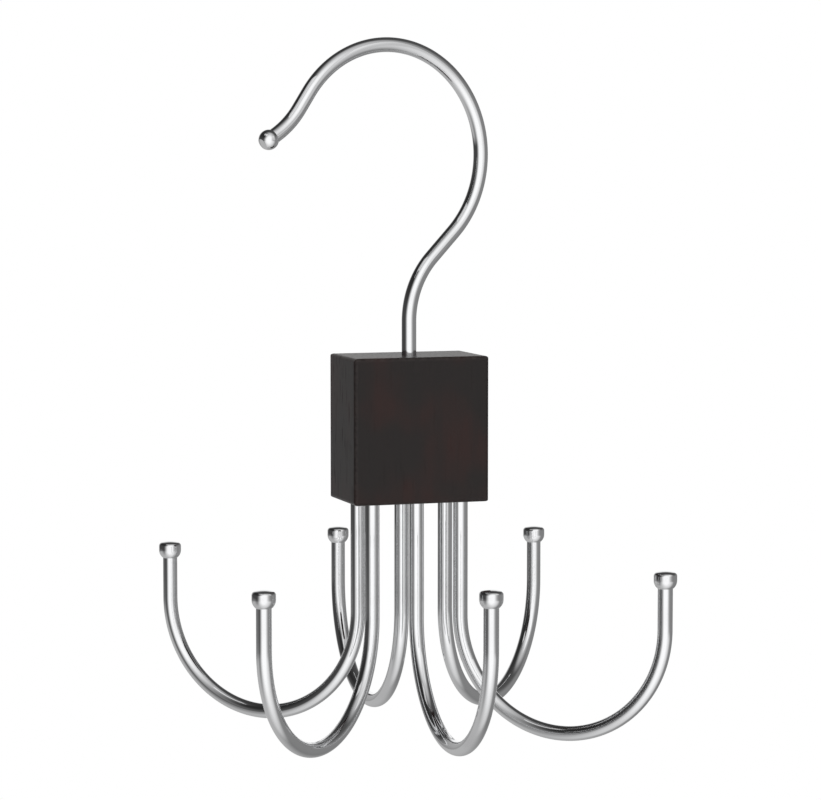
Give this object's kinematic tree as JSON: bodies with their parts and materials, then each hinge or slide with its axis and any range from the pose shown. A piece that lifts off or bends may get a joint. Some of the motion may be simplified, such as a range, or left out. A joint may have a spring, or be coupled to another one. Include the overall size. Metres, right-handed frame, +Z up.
{
  "type": "tie hanger",
  "caption": "Tie hanger: a swivelling wire hook over a dark wooden block with tie hooks that fan out below it, each a wire bent up to a capped tip.",
  "frame": {"origin": "the rod seat: the highest point of the inside of the crook, where the hanger hangs on its rod", "axes": "+Z up, +X along the width of the block, -Y towards the front of the block; at rest the swivel hook is turned 13 degrees counter-clockwise from above against the block, as in the picture"},
  "size_m": [0.1151, 0.1392, 0.1873],
  "materials": {
    "chrome_wire": "bright chrome plate on bent steel wire",
    "chrome_caps": "bright chrome plate on pressed steel caps",
    "steel_fittings": "zinc-plated steel, hidden inside the block",
    "black_wood": "hardwood stained near-black under a thin satin lacquer",
    "black_wood_plug": "turned hardwood plug, stained with the block"
  },
  "bodies": {
    "swivel": {"swivel_hook": "chrome_wire", "hook_end_ball": "chrome_caps", "swivel_washer": "steel_fittings", "swivel_collar": "steel_fittings"},
    "hanger": {"block": "black_wood", "block_plug": "black_wood_plug", "tie_hook_front": "chrome_wire", "tie_hook_front_left": "chrome_wire", "tie_hook_front_right": "chrome_wire", "tie_hook_back": "chrome_wire", "tie_hook_back_left": "chrome_wire", "tie_hook_back_right": "chrome_wire", "tip_cap_front": "chrome_caps", "tip_cap_front_left": "chrome_caps", "tip_cap_front_right": "chrome_caps", "tip_cap_back": "chrome_caps", "tip_cap_back_left": "chrome_caps", "tip_cap_back_right": "chrome_caps"}
  },
  "joints": [
    {"name": "hook_swivel", "type": "hinge", "parent": "swivel", "child": "hanger", "pos_m": [0.00634, 0.00146, -0.08105], "axis": [0, 0, 1], "continuous": true}
  ]
}
